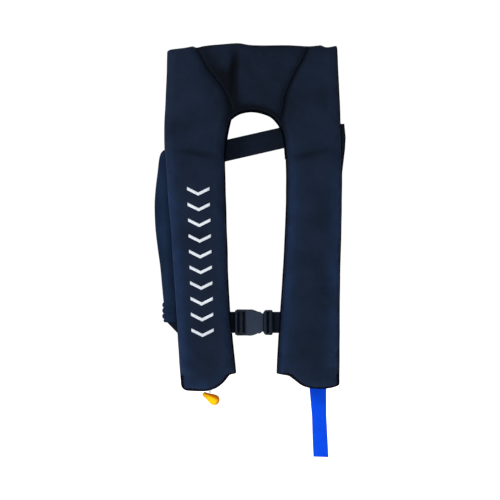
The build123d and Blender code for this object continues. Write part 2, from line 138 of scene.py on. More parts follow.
class Nodes:
    """A material's node tree, with short calls for the nodes that the finishes share."""

    def __init__(self, name):
        self.material = bpy.data.materials.new(name)
        self.material.use_nodes = True
        self.tree = self.material.node_tree
        self.shader = self.tree.nodes["Principled BSDF"]

    def feed(self, node, sockets):
        """Sets a node's sockets, each from another node's output or to one value all over the surface."""
        for key, value in sockets.items():
            socket = node.inputs[key]
            if isinstance(value, bpy.types.NodeSocket):
                self.tree.links.new(value, socket)
            else:
                socket.default_value = (*value, 1) if socket.type == "RGBA" else value

    def node(self, kind, out, sockets=None, **settings):
        """A new node's output."""
        made = self.tree.nodes.new(kind)
        for key, value in settings.items():
            setattr(made, key, value)
        self.feed(made, sockets or {})
        return made.outputs[out]

    def surface(self, sockets):
        self.feed(self.shader, sockets)
        return self.material

    def tone(self, name):
        """A value from 0 to 1 that the mesh carries."""
        return self.node("ShaderNodeAttribute", "Fac", attribute_name=name)

    def coordinates(self, woven):
        """Metres over the piece: along its cloth where it has been laid out, otherwise in the frame."""
        if woven:
            return self.node("ShaderNodeAttribute", "Vector", attribute_name="weave")
        return self.node("ShaderNodeTexCoord", "Object")

    def noise(self, where, size, detail=2.0, rough=0.5):
        return self.node("ShaderNodeTexNoise", "Fac", {"Vector": where, "Scale": 1 / size, "Detail": detail,
                                                       "Roughness": rough})

    def bands(self, where, pitch, direction):
        """A sine ridge each pitch metres along one axis."""
        return self.node("ShaderNodeTexWave", "Fac", {"Vector": where, "Scale": math.pi / 10 / pitch},
                         wave_type="BANDS", bands_direction=direction)

    def math(self, operation, a, b):
        return self.node("ShaderNodeMath", 0, {0: a, 1: b}, operation=operation)

    def spread(self, fac, low, high):
        """fac from 0 to 1, mapped to low to high."""
        return self.node("ShaderNodeMapRange", "Result", {"Value": fac, "To Min": low, "To Max": high})

    def mix(self, fac, a, b, blend="MIX"):
        return self.node("ShaderNodeMix", 2, {"Factor": fac, 6: a, 7: b}, data_type="RGBA", blend_type=blend)

    def bump(self, height, depth, strength=1.0, below=None):
        """A relief, on top of the one below it."""
        sockets = {"Height": height, "Distance": depth, "Strength": strength}
        if below is not None:
            sockets["Normal"] = below
        return self.node("ShaderNodeBump", "Normal", sockets)


def cloth_material(name, dark, light, pitch, woven=True, rough=(0.62, 0.8), sheen=0.03, relief=0.00012,
                   spec=0.04, highlight_tone=None):
    """Woven cloth: two thread directions, uneven dye, slightly uneven roughness and a soft sheen.
    Its last argument is the paler tone of a painted highlight along the edges; given it, painted shade also
    darkens folds and seams."""
    n = Nodes(name)
    where = n.coordinates(woven)
    threads = n.math("MULTIPLY", n.bands(where, pitch, "X"), n.bands(where, pitch, "Y" if woven else "Z"))
    cloud = n.noise(where, 0.045, 3.0, 0.55)
    slub = n.noise(where, 0.004, 2.0, 0.6)
    base = n.mix(n.spread(cloud, 0.0, 1.0), dark, light)
    shade = n.spread(n.math("ADD", threads, slub), 0.72, 1.12)
    if highlight_tone:
        # Painted highlight: the paler tone where the mesh carries it. Painted shade: near-black where the
        # mesh carries it.
        painted_light = n.math("MULTIPLY", n.tone("painted_light"), n.spread(n.noise(where, 0.03, 3.0, 0.6), 0.1, 1.5))
        base = n.mix(painted_light, base, highlight_tone)
        base = n.mix(n.tone("painted_shade_and_mottle"), base, tuple(0.22 * c for c in dark))
    coarse = n.bump(n.noise(where, 0.018, 3.0), 0.0006, 0.5)
    return n.surface({"Base Color": n.mix(1.0, base, shade, "MULTIPLY"), "Roughness": n.spread(slub, *rough),
                      "Normal": n.bump(threads, relief, 0.8, coarse), "Specular IOR Level": spec,
                      "Sheen Weight": sheen, "Sheen Roughness": 0.45, "Sheen Tint": (0.35, 0.5, 1.0)})


def webbing_material(name, dark, light, ribs, woven=True, sheen=0.04):
    """Belt webbing: ribs across, cords along, and a paler tone where each rib stands highest."""
    n = Nodes(name)
    where = n.coordinates(woven)
    crosswise = n.bands(where, ribs, "Y" if woven else "Z")
    along = n.bands(where, ribs * 1.45, "X")
    rib = n.math("MULTIPLY", n.math("ADD", crosswise, 0.25), n.math("ADD", along, 0.5))
    wear = n.noise(where, 0.02, 4.0, 0.6)
    fine = n.noise(where, 0.0012, 2.0)
    tone = n.math("MULTIPLY", n.spread(rib, 0.15, 0.9), n.spread(wear, 0.5, 1.3))
    return n.surface({"Base Color": n.mix(tone, dark, light), "Roughness": n.spread(fine, 0.62, 0.88),
                      "Normal": n.bump(rib, 0.0004, 0.9, n.bump(fine, 0.0001, 0.5)),
                      "Specular IOR Level": 0.06, "Sheen Weight": sheen, "Sheen Tint": (0.4, 0.5, 0.8)})


def moulded_material(name, dark, light, rough=(0.35, 0.5), grain=0.0006, coat=0.0, spec=0.5, metal=0.0,
                     lit_tone=None):
    """Moulded plastic, rubber or metal: grain, flow marks and scuffs. The last argument is a second, paler
    tone: painted light, mixed in where the mesh carries it.
    """
    n = Nodes(name)
    where = n.coordinates(False)
    flow = n.noise(where, 0.014, 2.0, 0.5)
    fine = n.noise(where, grain, 2.0, 0.6)
    stretched = n.node("ShaderNodeMapping", "Vector", {"Scale": (1, 1, 9), "Vector": where})
    scuff = n.noise(stretched, 0.006, 5.0, 0.7)
    base = n.mix(n.spread(n.math("MULTIPLY", flow, scuff), 0.0, 2.0), dark, light)
    if lit_tone:
        base = n.mix(n.tone("painted_light"), base, lit_tone)
    return n.surface({"Base Color": base, "Roughness": n.spread(scuff, *rough),
                      "Normal": n.bump(fine, 0.00003, 0.6, n.bump(flow, 0.0002, 0.25)), "Metallic": metal,
                      "Specular IOR Level": spec, "Coat Weight": coat, "Coat Roughness": 0.12})


def napped_material(name, dark, light):
    """Hook and loop tape: a dense short pile."""
    n = Nodes(name)
    where = n.coordinates(False)
    pile = n.noise(where, 0.0011, 3.0, 0.75)
    patch = n.noise(where, 0.012, 2.0)
    base = n.mix(n.spread(n.math("MULTIPLY", pile, patch), 0.0, 2.4), dark, light)
    return n.surface({"Base Color": base, "Roughness": n.spread(pile, 0.85, 1.0),
                      "Normal": n.bump(pile, 0.0007), "Sheen Weight": 0.5, "Specular IOR Level": 0.1})


# The cover's last colour is the paler, bluer tone of its painted highlight.
cover_cloth = cloth_material("cover_cloth", (0.0034, 0.0068, 0.0150), (0.0082, 0.0150, 0.0325), 0.0011,
                             highlight_tone=(0.0080, 0.0195, 0.0540))
# A brighter, bluer copy of the cover's navy cloth for the side belt and its sleeve: a painted highlight.
cover_cloth_lit = cloth_material("cover_cloth_lit", (0.0038, 0.0098, 0.0240), (0.0094, 0.0226, 0.0570), 0.0011)
lining_cloth = cloth_material("lining_cloth", (0.006, 0.008, 0.013), (0.011, 0.014, 0.022), 0.0016,
                              sheen=0.08)
binding_cloth = cloth_material("binding_cloth", (0.0008, 0.0011, 0.0024), (0.0022, 0.0030, 0.0060), 0.0008,
                               sheen=0.0, relief=0.0002, spec=0.0)
bladder_cloth = cloth_material("bladder_cloth", (0.80, 0.52, 0.02), (0.90, 0.66, 0.04), 0.0009,
                               rough=(0.28, 0.45), sheen=0.0, relief=0.00006, spec=0.55)
thread = cloth_material("thread", (0.012, 0.018, 0.036), (0.03, 0.04, 0.07), 0.0004, woven=False,
                        relief=0.00005)
print_white = cloth_material("reflective_print", (0.40, 0.44, 0.50), (0.66, 0.69, 0.74), 0.0011,
                             rough=(0.35, 0.55), sheen=0.0, relief=0.0001, spec=0.5)
WEB = ((0.0008, 0.0018, 0.0045), (0.0075, 0.0130, 0.0260))
webbing = webbing_material("belt_webbing", *WEB, 0.0015)
webbing_plain = webbing_material("keeper_webbing", *WEB, 0.0015, woven=False)
blue_webbing = webbing_material("strap_webbing", (0.0, 0.030, 0.46), (0.001, 0.090, 0.95), 0.0012, sheen=0.0)
cord_weave = webbing_material("cord_weave", (0.55, 0.56, 0.62), (0.86, 0.87, 0.92), 0.0009, woven=False)
buckle_plastic = moulded_material("buckle_plastic", (0.0030, 0.0060, 0.0135), (0.0090, 0.0155, 0.0300),
                                  spec=0.14)
# A lighter copy of the buckle plastic: painted highlight on the faces and the ridge that catch the light.
buckle_plastic_lit = moulded_material("buckle_plastic_lit", (0.0080, 0.0150, 0.0320), (0.0180, 0.0300, 0.0570),
                                rough=(0.38, 0.52), spec=0.22, grain=0.0004)
# The toggle's darker orange stands for painted shade on its upper side; its paler yellow tone is painted
# light.
toggle_plastic = moulded_material("toggle_plastic", (0.37, 0.088, 0.0), (0.50, 0.150, 0.0), rough=(0.3, 0.45),
                                  spec=0.07, lit_tone=(0.80, 0.47, 0.0))
inflator_plastic = moulded_material("inflator_plastic", (0.018, 0.019, 0.022), (0.035, 0.037, 0.042))
lever_plastic = moulded_material("lever_plastic", (0.62, 0.03, 0.015), (0.75, 0.05, 0.02), coat=0.2)
bright_steel = moulded_material("bright_steel", (0.52, 0.53, 0.55), (0.66, 0.67, 0.69), rough=(0.2, 0.38),
                                metal=1.0)
cylinder_steel = moulded_material("cylinder_steel", (0.36, 0.36, 0.35), (0.50, 0.50, 0.48), rough=(0.28, 0.5),
                                  metal=1.0, grain=0.0012)
stem_brass = moulded_material("stem_brass", (0.58, 0.40, 0.14), (0.72, 0.52, 0.22), rough=(0.25, 0.42),
                              metal=1.0)
cartridge_white = moulded_material("cartridge_white", (0.70, 0.69, 0.64), (0.82, 0.81, 0.77))
indicator_green = moulded_material("indicator_green", (0.02, 0.36, 0.06), (0.04, 0.50, 0.10),
                                   rough=(0.12, 0.2), coat=0.6)
oral_rubber = moulded_material("oral_rubber", (0.016, 0.016, 0.017), (0.03, 0.03, 0.032), rough=(0.6, 0.8),
                               spec=0.3)
oral_plastic = moulded_material("oral_plastic", (0.022, 0.022, 0.024), (0.045, 0.045, 0.048))
cap_plastic = moulded_material("cap_plastic", (0.02, 0.021, 0.025), (0.04, 0.042, 0.05), rough=(0.4, 0.6))
whistle_orange = moulded_material("whistle_orange", (0.80, 0.16, 0.01), (0.93, 0.24, 0.02), coat=0.3)
hook_loop = napped_material("hook_and_loop", (0.003, 0.0035, 0.005), (0.02, 0.022, 0.03))

# ---- outline of the cover, in millimetres, as stretches that are smooth between their ends ----

SEAM_Y = -0.020
FRONT_DEEP, BACK_DEEP = 0.0215, 0.0195
TOP_LEFT = [(-158.8, 166), (-151, 169), (-126, 171.8), (-111, 174.8)]
TOP_MIDDLE = [(-111, 174.8), (-106, 171.6), (-88, 175.4), (-35, 180), (-5, 176.4), (60, 176), (97, 174.6),
              (121, 176.8)]
TOP_RIGHT = [(121, 176.8), (124, 173.8), (132, 172.6), (148, 175.6)]
RIGHT_SIDE = [(148, 175.6), (149.8, 155), (154.6, 43), (157.6, -50), (157, -130), (155, -205), (153.5, -320),
              (153.2, -424), (153, -438.5)]
RIGHT_FOOT = [(153, -438.5), (143, -442.3), (128, -444.9), (112, -445.6), (97, -443.6), (83.8, -438.6),
              (72.4, -430), (61.2, -421.6)]
RIGHT_STEP = [(61.2, -421.6), (50, -419.9), (38.4, -418)]
RIGHT_INSIDE = [(38.4, -418), (41.2, -370), (47, -280), (52, -200), (54.8, -140), (56, -77), (55.5, -30),
                (53, -2), (49, 18), (43, 32)]
NECK = [(43, 32), (30.6, 45.6), (14, 53), (-5.8, 56.4), (-24, 53.8), (-36, 48), (-43.7, 41.8)]
LEFT_INSIDE = [(-43.7, 41.8), (-47.5, 26), (-51, 6), (-54, -32), (-53.5, -70), (-52, -104), (-50, -180),
               (-47, -266), (-43, -325), (-39, -365), (-33.4, -417.5)]
LEFT_STEP = [(-33.4, -417.5), (-40, -418.4), (-46, -420)]
LEFT_FOOT = [(-46, -420), (-53, -429.8), (-62.5, -439.1), (-72, -444.9), (-84, -448.8), (-98, -449.8),
             (-112, -449.5), (-125, -448.5), (-132.5, -443)]
LEFT_SIDE = [(-132.5, -443), (-134.5, -430), (-141, -335), (-148, -232), (-153, -160), (-157, -115),
             (-161.5, -50), (-164, -8), (-164, 30), (-162, 75), (-160, 130), (-158.8, 166)]
OUTLINE = [TOP_LEFT, TOP_MIDDLE, TOP_RIGHT, RIGHT_SIDE, RIGHT_FOOT, RIGHT_STEP, RIGHT_INSIDE, NECK,
           LEFT_INSIDE, LEFT_STEP, LEFT_FOOT, LEFT_SIDE]
COLLAR_SEAM_LEFT = [(-111, 174.8), (-101, 160), (-84.6, 130), (-69, 111), (-56, 92), (-49, 78), (-43.5, 62),
                    (-43.7, 41.8)]
COLLAR_SEAM_RIGHT = [(97, 174.6), (90, 155), (74, 126), (64, 105), (55, 82), (52, 62), (48, 45), (43, 32)]


def ease(t):
    """0 below 0, 1 above 1 and a smooth step between."""
    t = min(1.0, max(0.0, t))
    return t * t * (3 - 2 * t)


def lengths(vectors):
    return np.linalg.norm(vectors, axis=1)


def run_along(line):
    """How far along a line each of its points is."""
    return np.concatenate([[0], np.cumsum(lengths(np.diff(line, axis=0)))])


def smooth(points, step):
    """Points about step apart on a smooth curve through the given ones, without its last."""
    pts = [np.array(p, float) for p in points]
    pts = [2 * pts[0] - pts[1], *pts, 2 * pts[-1] - pts[-2]]
    fine = []
    for a, b, c, d in zip(pts, pts[1:], pts[2:], pts[3:]):
        for t in np.linspace(0, 1, 24, endpoint=False):
            square = (2 * a - 5 * b + 4 * c - d) * t**2
            fine.append(0.5 * (2 * b + (c - a) * t + square + (3 * b - a - 3 * c + d) * t**3))
    fine = np.array([*fine, pts[-2]])
    run = run_along(fine)
    count = max(2, round(run[-1] / step))
    at = np.linspace(0, run[-1], count + 1)[:-1]
    return np.column_stack([np.interp(at, run, fine[:, k]) for k in range(fine.shape[1])])


def closed_curve(stretches, step):
    """A closed outline in metres from stretches in millimetres."""
    return np.vstack([smooth(s, step) for s in stretches]) * MM


def open_curve(points, step):
    """An open line in metres, with its last point."""
    return np.vstack([smooth(points, step), points[-1]]) * MM


def straight(*points):
    """A polygon's sides as stretches, for closed_curve."""
    return [[a, b] for a, b in zip(points, (*points[1:], points[0]))]


def to_segments(points, line, closed):
    """Distance from each point to a polyline."""
    a = line if closed else line[:-1]
    b = np.roll(line, -1, axis=0) if closed else line[1:]
    best = np.full(len(points), 1e9)
    for p, q in zip(a, b):
        along = q - p
        t = np.clip(((points - p) @ along) / max(along @ along, 1e-12), 0, 1)
        best = np.minimum(best, lengths(points - p - t[:, None] * along))
    return best


def inside(points, line):
    """Which points lie inside a closed polyline."""
    hit = np.zeros(len(points), bool)
    x, z = points[:, 0], points[:, 1]
    for p, q in zip(line, np.roll(line, -1, axis=0)):
        if p[1] != q[1]:
            cross = (q[0] - p[0]) * (z - p[1]) / (q[1] - p[1]) + p[0]
            hit ^= ((p[1] > z) != (q[1] > z)) & (x < cross)
    return hit


def sideways(toward):
    """Unit vectors at right angles to the given ones."""
    return np.column_stack([toward[:, 1], -toward[:, 0]]) / lengths(toward)[:, None]


def inward(line):
    """The direction into a closed outline at each of its points."""
    normal = sideways(np.roll(line, -1, axis=0) - np.roll(line, 1, axis=0))
    return normal if inside(line[:1] + normal[:1] * 1e-4, line)[0] else -normal


def renumbered(faces, count):
    """The points that some faces use, and those faces numbered by them."""
    used = np.unique(faces)
    number = np.full(count, -1)
    number[used] = np.arange(len(used))
    return used, number[faces]


def facing_front(plan, tris):
    """The triangles of a flat plan, all turned to the front."""
    a, b, c = (plan[tris[:, k]] for k in range(3))
    turn = (b[:, 0] - a[:, 0]) * (c[:, 1] - a[:, 1]) - (b[:, 1] - a[:, 1]) * (c[:, 0] - a[:, 0])
    return np.where((turn > 0)[:, None], tris, tris[:, ::-1])


def two_sheets(plan, tris, free, front, back):
    """A front and a back sheet that share the points that aren't free: points, front and back faces."""
    own = np.arange(len(plan))
    own[free] = len(plan) + np.arange(free.sum())
    outward = facing_front(plan, tris)
    verts = np.vstack([np.column_stack([plan[:, 0], front, plan[:, 1]]),
                       np.column_stack([plan[free, 0], back[free], plan[free, 1]])])
    return verts, outward, own[outward[:, ::-1]]


def tube_faces(rings, around, flip=False):
    """Quads between the rings of a tube, and a cap on each end."""
    made = []
    for i in range(rings - 1):
        for k in range(around):
            j = (k + 1) % around
            quad = (i * around + k, i * around + j, (i + 1) * around + j, (i + 1) * around + k)
            made.append(quad[:1] + quad[:0:-1] if flip else quad)
    caps = [tuple(range(around))[::-1], tuple(range((rings - 1) * around, rings * around))]
    return made + [cap[::-1] if flip else cap for cap in caps]


def layout(outline, step, rings, lines=()):
    """Flat triangles inside an outline, with rows of points along its edge and along the lines.
    Gives the points, the outline ones first, the faces and each point's distance from the edge."""
    points = [outline]
    edges = [(i, (i + 1) % len(outline)) for i in range(len(outline))]
    count = len(outline)
    for line in lines:
        first = int(np.argmin(lengths(outline - line[0])))
        last = int(np.argmin(lengths(outline - line[-1])))
        middle = line[to_segments(line, outline, True) > step * 0.5]
        chain = [first, *range(count, count + len(middle)), last]
        edges += list(zip(chain, chain[1:]))
        points.append(middle)
        count += len(middle)
    normal = inward(outline)
    for depth in rings:
        ring = outline + normal * depth
        keep = inside(ring, outline) & (to_segments(ring, outline, True) > depth * 0.96)
        for line in lines:
            keep &= to_segments(ring, line, False) > step * 0.45
        points.append(ring[keep])
    low, high = outline.min(axis=0), outline.max(axis=0)
    rows = np.arange(low[1], high[1], step * 0.866)
    columns = np.arange(low[0], high[0], step)
    grid = np.array([(x + (k % 2) * step / 2, z) for k, z in enumerate(rows) for x in columns])
    grid = grid[inside(grid, outline)]
    deepest = max(rings, default=0)
    grid = grid[to_segments(grid, outline, True) > deepest + step * 0.55]
    for line in lines:
        grid = grid[to_segments(grid, line, False) > step * 0.55]
    points.append(grid)
    everything = np.vstack(points)
    found = delaunay_2d_cdt([Vector(p) for p in everything], edges, [], 0, 1e-7)
    flat = np.array([tuple(v) for v in found[0]])
    faces = np.array([f for f in found[2] if len(f) == 3])
    used, faces = renumbered(faces[inside(flat[faces].mean(axis=1), outline)], len(flat))
    flat = flat[used]
    edge = to_segments(flat, outline, True)
    edge[edge < 1e-6] = 0
    return flat, faces, edge


def make_mesh(name, verts, faces, material, weave=None):
    """A mesh object from arrays; weave gives each point its place along the cloth, in metres."""
    mesh = bpy.data.meshes.new(name)
    mesh.from_pydata([tuple(v) for v in verts], [], [tuple(int(i) for i in f) for f in faces])
    if weave is not None:
        spread = np.zeros((len(verts), 3), np.float32)
        spread[:, :2] = weave
        attribute = mesh.attributes.new("weave", "FLOAT_VECTOR", "POINT")
        attribute.data.foreach_set("vector", spread.ravel())
    for finish in material if isinstance(material, list) else [material]:
        mesh.materials.append(finish)
    mesh.shade_smooth()
    return add(name, mesh)


def modifier(obj, kind, **values):
    made = obj.modifiers.new(kind.lower(), kind)
    for key, value in values.items():
        setattr(made, key, value)
    return made


def carry(obj, kind, values):
    """Gives each point of a mesh a value for its material."""
    made = obj.data.attributes.new(kind, "FLOAT", "POINT")
    made.data.foreach_set("value", np.array(values, np.float32))


def settle(obj):
    """Applies the object's modifiers to its mesh."""
    bpy.context.view_layer.update()
    graph = bpy.context.evaluated_depsgraph_get()
    mesh = bpy.data.meshes.new_from_object(obj.evaluated_get(graph), preserve_all_data_layers=True,
                                           depsgraph=graph)
    obj.modifiers.clear()
    obj.data = mesh
    return obj


def tree_of(objects):
    """A search tree over several meshes' surfaces."""
    verts, faces = [], []
    for obj in objects:
        start = len(verts)
        verts += [v.co.copy() for v in obj.data.vertices]
        faces += [[start + i for i in p.vertices] for p in obj.data.polygons]
    return BVHTree.FromPolygons(verts, faces)


def ripple(points, size, seed):
    """Smooth random height, about -1 to 1, at flat points."""
    return np.array([noise.noise(Vector((p[0] / size, p[1] / size, seed))) for p in points]) * 1.6


def bell(distance, width, power=2):
    """1 at no distance, and falling to nothing beyond width."""
    return np.exp(-((distance / width) ** power))


def groove(points, line, width, fade=0.0):
    """How much each flat point lies in a groove along a line, from 0 to 1. Its ends taper off over fade."""
    near = bell(to_segments(points, line, False), width)
    if fade:
        ends = np.minimum(lengths(points - line[0]), lengths(points - line[-1]))
        near = near * np.clip(ends / fade, 0, 1)
    return near


def rounded(distance, radius):
    """0 at an edge rising to 1 at radius, as a quarter circle."""
    t = np.clip(distance / radius, 0, 1)
    return np.sqrt(1 - (1 - t) ** 2)


def stand_in(obj, body, slot, *nodes):
    """Puts a piece on its body, in place of some CAD nodes; slot is not used."""
    if nodes:
        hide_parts(*nodes)
    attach(obj, body)


# ---- cover: simulated as one sewn and lightly filled shell, then cut into its panels ----

STEP = 5.0
EDGE_STEP = 4.6
EDGE_ROWS = (0.0010, 0.0022, 0.0042, 0.0072, 0.0108)
PINNED_EDGE = 0.0035
outline = closed_curve(OUTLINE, EDGE_STEP)
outline += 0.0004 * np.column_stack([ripple(outline, 0.036, seed) for seed in (5.0, 9.0)])
seams = [open_curve(COLLAR_SEAM_LEFT, STEP), open_curve(COLLAR_SEAM_RIGHT, STEP)]
flat, faces, edge = layout(outline, STEP * MM, EDGE_ROWS, seams)
collar_line = np.vstack([seams[0], open_curve(NECK, STEP)[::-1], seams[1][::-1],
                         open_curve(TOP_MIDDLE, STEP)[::-1]])
COLLAR_FOLD = open_curve([(-33.5, 172), (-35.5, 150), (-38.5, 111), (-38.5, 85), (-38, 58)], STEP)
LEFT_FOLD = open_curve([(-150, -17), (-120, -18), (-85, -24), (-56, -29)], STEP)
RIGHT_FOLD = open_curve([(60, -30), (90, -24), (125, -16), (154, -12)], STEP)
LOWER_FOLD = open_curve([(60, -236), (95, -242), (130, -240), (152, -236)], STEP)
SHOULDER_FOLD = open_curve([(-52, 120), (-49, 95), (-42, 66)], STEP)
neck_near = to_segments(flat, open_curve(NECK, STEP), False)
seam_near = np.minimum(to_segments(flat, seams[0], False), to_segments(flat, seams[1], False))
nearest = np.array([int(np.argmin(((outline - p) ** 2).sum(axis=1))) for p in flat])
along_rim = nearest * EDGE_STEP * MM


def pucker():
    """Small gathers that the stitching pulls into the cloth beside the bound edge, from 0 to 1."""
    wave = 0.5 + 0.5 * np.sin(along_rim / 0.0062 + 2.2 * ripple(flat, 0.05, 21.0))
    return wave * bell(edge - 0.007, 0.006)


# Where the released plug of the buckle slides behind the right lobe, the back of the cover is pressed in.
PARKED_PLUG = (0.060, -0.3265)
parked = 0.0016 * bell(lengths(flat - np.array(PARKED_PLUG)), 0.036, 4)
# Folds of the front: line, depth and half width. Bulges over hard parts: place, height and half width.
FOLDS = ((COLLAR_FOLD, 0.0060, 0.0065), (LEFT_FOLD, 0.0030, 0.0050), (RIGHT_FOLD, 0.0026, 0.0055),
         (LOWER_FOLD, 0.0012, 0.0060))
BULGES = (((-0.126, -0.402), 0.0052, 0.011), ((-0.102, -0.392), 0.0030, 0.015))
FOLD_FADE = 0.03
FRONT_ROUND, BACK_ROUND = 0.019, 0.011


def cover_shape():
    """Start shape of both sheets: y of the front and of the back at each flat point."""
    rise = rounded(edge, FRONT_ROUND)
    front = SEAM_Y - FRONT_DEEP * rise - 0.0010 * rise * ripple(flat, 0.07, 3.0)
    front += 0.0048 * rise * (groove(flat, seams[0], 0.0085) + groove(flat, seams[1], 0.0060))
    for line, deep, wide in FOLDS:
        front += deep * rise * groove(flat, line, wide, FOLD_FADE)
    front += 0.0009 * pucker()
    for place, high, wide in BULGES:
        front -= high * bell(lengths(flat - np.array(place)), wide) * rounded(edge, 0.004)
    turned_edge = rounded(edge, BACK_ROUND)
    back = SEAM_Y + BACK_DEEP * turned_edge
    back -= 0.0009 * turned_edge * (groove(flat, seams[0], 0.0028) + groove(flat, seams[1], 0.0028))
    back -= 0.0005 * (1 + ripple(flat, 0.04, 41.0)) * rounded(edge, 0.02) + parked * turned_edge
    return front, back


CLOTH = {"quality": 4, "mass": 0.25, "tension_stiffness": 18, "compression_stiffness": 18,
         "bending_stiffness": 0.6, "shrink_min": -0.018, "use_pressure": True, "uniform_pressure_force": 3.2}


def puff(verts, all_faces, pinned, frames=20, reach=0.0045):
    """Swells a closed shell with the cloth solver; pinned points stay, and the others move at most reach."""
    obj = make_mesh("swell", verts, all_faces, cover_cloth)
    group = obj.vertex_groups.new(name="pin")
    for index in np.nonzero(pinned)[0]:
        group.add([int(index)], 1.0, "ADD")
    cloth = obj.modifiers.new("cloth", "CLOTH")
    cloth.settings.vertex_group_mass = "pin"
    for key, value in CLOTH.items():
        setattr(cloth.settings, key, value)
    cloth.settings.effector_weights.gravity = 0
    cloth.point_cache.frame_start = 1
    cloth.point_cache.frame_end = frames
    for step in range(1, frames + 1):
        scene.frame_set(step)
    evaluated = obj.evaluated_get(bpy.context.evaluated_depsgraph_get())
    after = np.array([v.co for v in evaluated.data.vertices])
    scene.frame_set(1)
    bpy.data.objects.remove(obj)
    move = after - verts
    far = lengths(move)
    scale = np.where(far > 1e-9, reach * np.tanh(far / reach) / np.maximum(far, 1e-9), 0)
    return verts + move * scale[:, None]


front_y, back_y = cover_shape()
free_points = edge > 0
cover_verts, front_faces, back_faces = two_sheets(flat, faces, free_points, front_y, back_y)
bound = edge < PINNED_EDGE
pinned = np.concatenate([bound | (seam_near < 0.0008), bound[free_points]])
cover_verts = puff(cover_verts, np.vstack([front_faces, back_faces]), pinned)

# Neither sheet sinks into what it covers by more than SINK, and the back stays clear of the belts behind it.
SINK = 0.0008
BELT_GAP = 0.0007
cover_verts[:len(flat), 1] = np.minimum(cover_verts[:len(flat), 1], front_y + SINK)
cover_verts[len(flat):, 1] = np.clip(cover_verts[len(flat):, 1], back_y[free_points] - SINK,
                                     -BELT_GAP - parked[free_points])

# The bound rim is narrow behind and at the left lobe's outer side, and widest at the lobes' feet, where its
# near-black band is widened as painted shade along the rounded edge.
NARROW_RIM, WIDE_RIM, FOOT_RIM, WALL_WIDTH = 0.00095, 0.0019, 0.0060, 0.0095
middle = flat[faces].mean(axis=1)
left_side = (middle[:, 0] < -0.12) & (middle[:, 1] > -0.42)
foot = middle[:, 1] < -0.415

# Tones of the front: painted shade darkens the cloth in seams, folds, round the neck, over the collar and
# along the bound edge, with some random mottle; a painted highlight makes it paler and bluer along the lobes'
# edges.
# Lines of painted shade: how dark, half width and how far their ends fade.
SHADES = ((seams[0], 0.55, 0.0030, 0), (seams[0] + (0.007, 0.004), 0.50, 0.0110, 0),
          (seams[1], 0.60, 0.0035, 0), (seams[1] - (0.004, 0), 0.30, 0.0100, 0),
          (COLLAR_FOLD, 1.00, 0.0078, 0.035), (LEFT_FOLD, 0.40, 0.0045, 0.03),
          (RIGHT_FOLD, 0.35, 0.0050, 0.03), (SHOULDER_FOLD, 0.40, 0.013, 0))
painted_shade_and_mottle = sum(tone * groove(flat, line, wide, fade) for line, tone, wide, fade in SHADES)
painted_shade_and_mottle += 0.85 * bell(neck_near, 0.011) + 0.25 * np.clip(ripple(flat, 0.05, 31.0), 0, 1)
painted_shade_and_mottle += 0.95 * bell(edge, 0.0052) * ((flat[:, 0] > -0.12) | (flat[:, 1] < -0.42))
collar_shade = np.clip((0.05 + flat[:, 1]) / 0.12, 0, 1)
painted_shade_and_mottle = np.clip(painted_shade_and_mottle + 0.26 * collar_shade * bell(flat[:, 0], 0.095, 4), 0, 0.95)
# Painted highlight: paler, bluer cloth along the edges, strongest on the lower lobes, weaker on the inner
# left and at the right lobe's foot.
lower = np.clip((0.03 - flat[:, 1]) / 0.16, 0, 1)
inner_left = np.where((flat[:, 0] < 0) & (flat[:, 0] > -0.085), 0.35, 1.0)
painted_light = bell(edge, 0.022) * lower * inner_left + 0.2 * bell(edge, 0.012)
painted_light = np.clip(painted_light * np.where((flat[:, 0] > 0.05) & (flat[:, 1] < -0.405), 0.35, 1.0), 0, 1)
CLOTH_THICK = 0.0011


def panel(name, rows, material, sheet_faces):
    """One cut piece of the shell, with a bound edge, turned cloth thickness and one subdivision."""
    used, own_faces = renumbered(sheet_faces[rows], len(cover_verts))
    on_front = used < len(flat)
    plan = cover_verts[used][:, (0, 2)]
    plan[on_front] = flat[used[on_front]]
    obj = make_mesh(name, cover_verts[used], own_faces, [material, binding_cloth, lining_cloth, cover_cloth],
                    plan)
    # Painted shade and painted highlight values, on the front sheet only.
    for kind, values in (("painted_shade_and_mottle", painted_shade_and_mottle), ("painted_light", painted_light)):
        carry(obj, kind, np.where(on_front, values[np.where(on_front, used, 0)], 0))
    near = edge[faces[rows]].mean(axis=1)
    behind = material is lining_cloth
    rim = np.where(left_side[rows] | behind, NARROW_RIM, np.where(foot[rows], FOOT_RIM, WIDE_RIM))
    kind = np.where(near < rim, 1, np.where((near < WALL_WIDTH) & behind, 3, 0))
    obj.data.polygons.foreach_set("material_index", kind.astype(np.int32))
    modifier(obj, "SUBSURF", levels=1, render_levels=1)
    modifier(obj, "SOLIDIFY", thickness=CLOTH_THICK, offset=-1.0, material_offset=2)
    return settle(obj)


in_collar = inside(middle, collar_line)
every = np.arange(len(faces))
collar_front = panel("cover_collar", every[in_collar], cover_cloth, front_faces)
left_front = panel("cover_left", every[~in_collar & (middle[:, 0] < 0)], cover_cloth, front_faces)
right_front = panel("cover_right", every[~in_collar & (middle[:, 0] > 0)], cover_cloth, front_faces)
inner_cover = panel("cover_inner", every, lining_cloth, back_faces)
front_tree = tree_of([collar_front, left_front, right_front])
back_tree = tree_of([inner_cover])


def on_cover(x, z, lift, behind=False):
    """The point lift metres in front of the cover at x, z, or behind the inner cover."""
    side = 1 if behind else -1
    tree = back_tree if behind else front_tree
    hit = tree.ray_cast(Vector((x, 0.3 * side, z)), Vector((0, -side, 0)))[0]
    return None if hit is None else Vector((x, hit.y + lift * side, z))


STITCH_WIDE = 0.0005
STITCH_HIGH = 0.00035
STITCH_DEEP = 0.0008


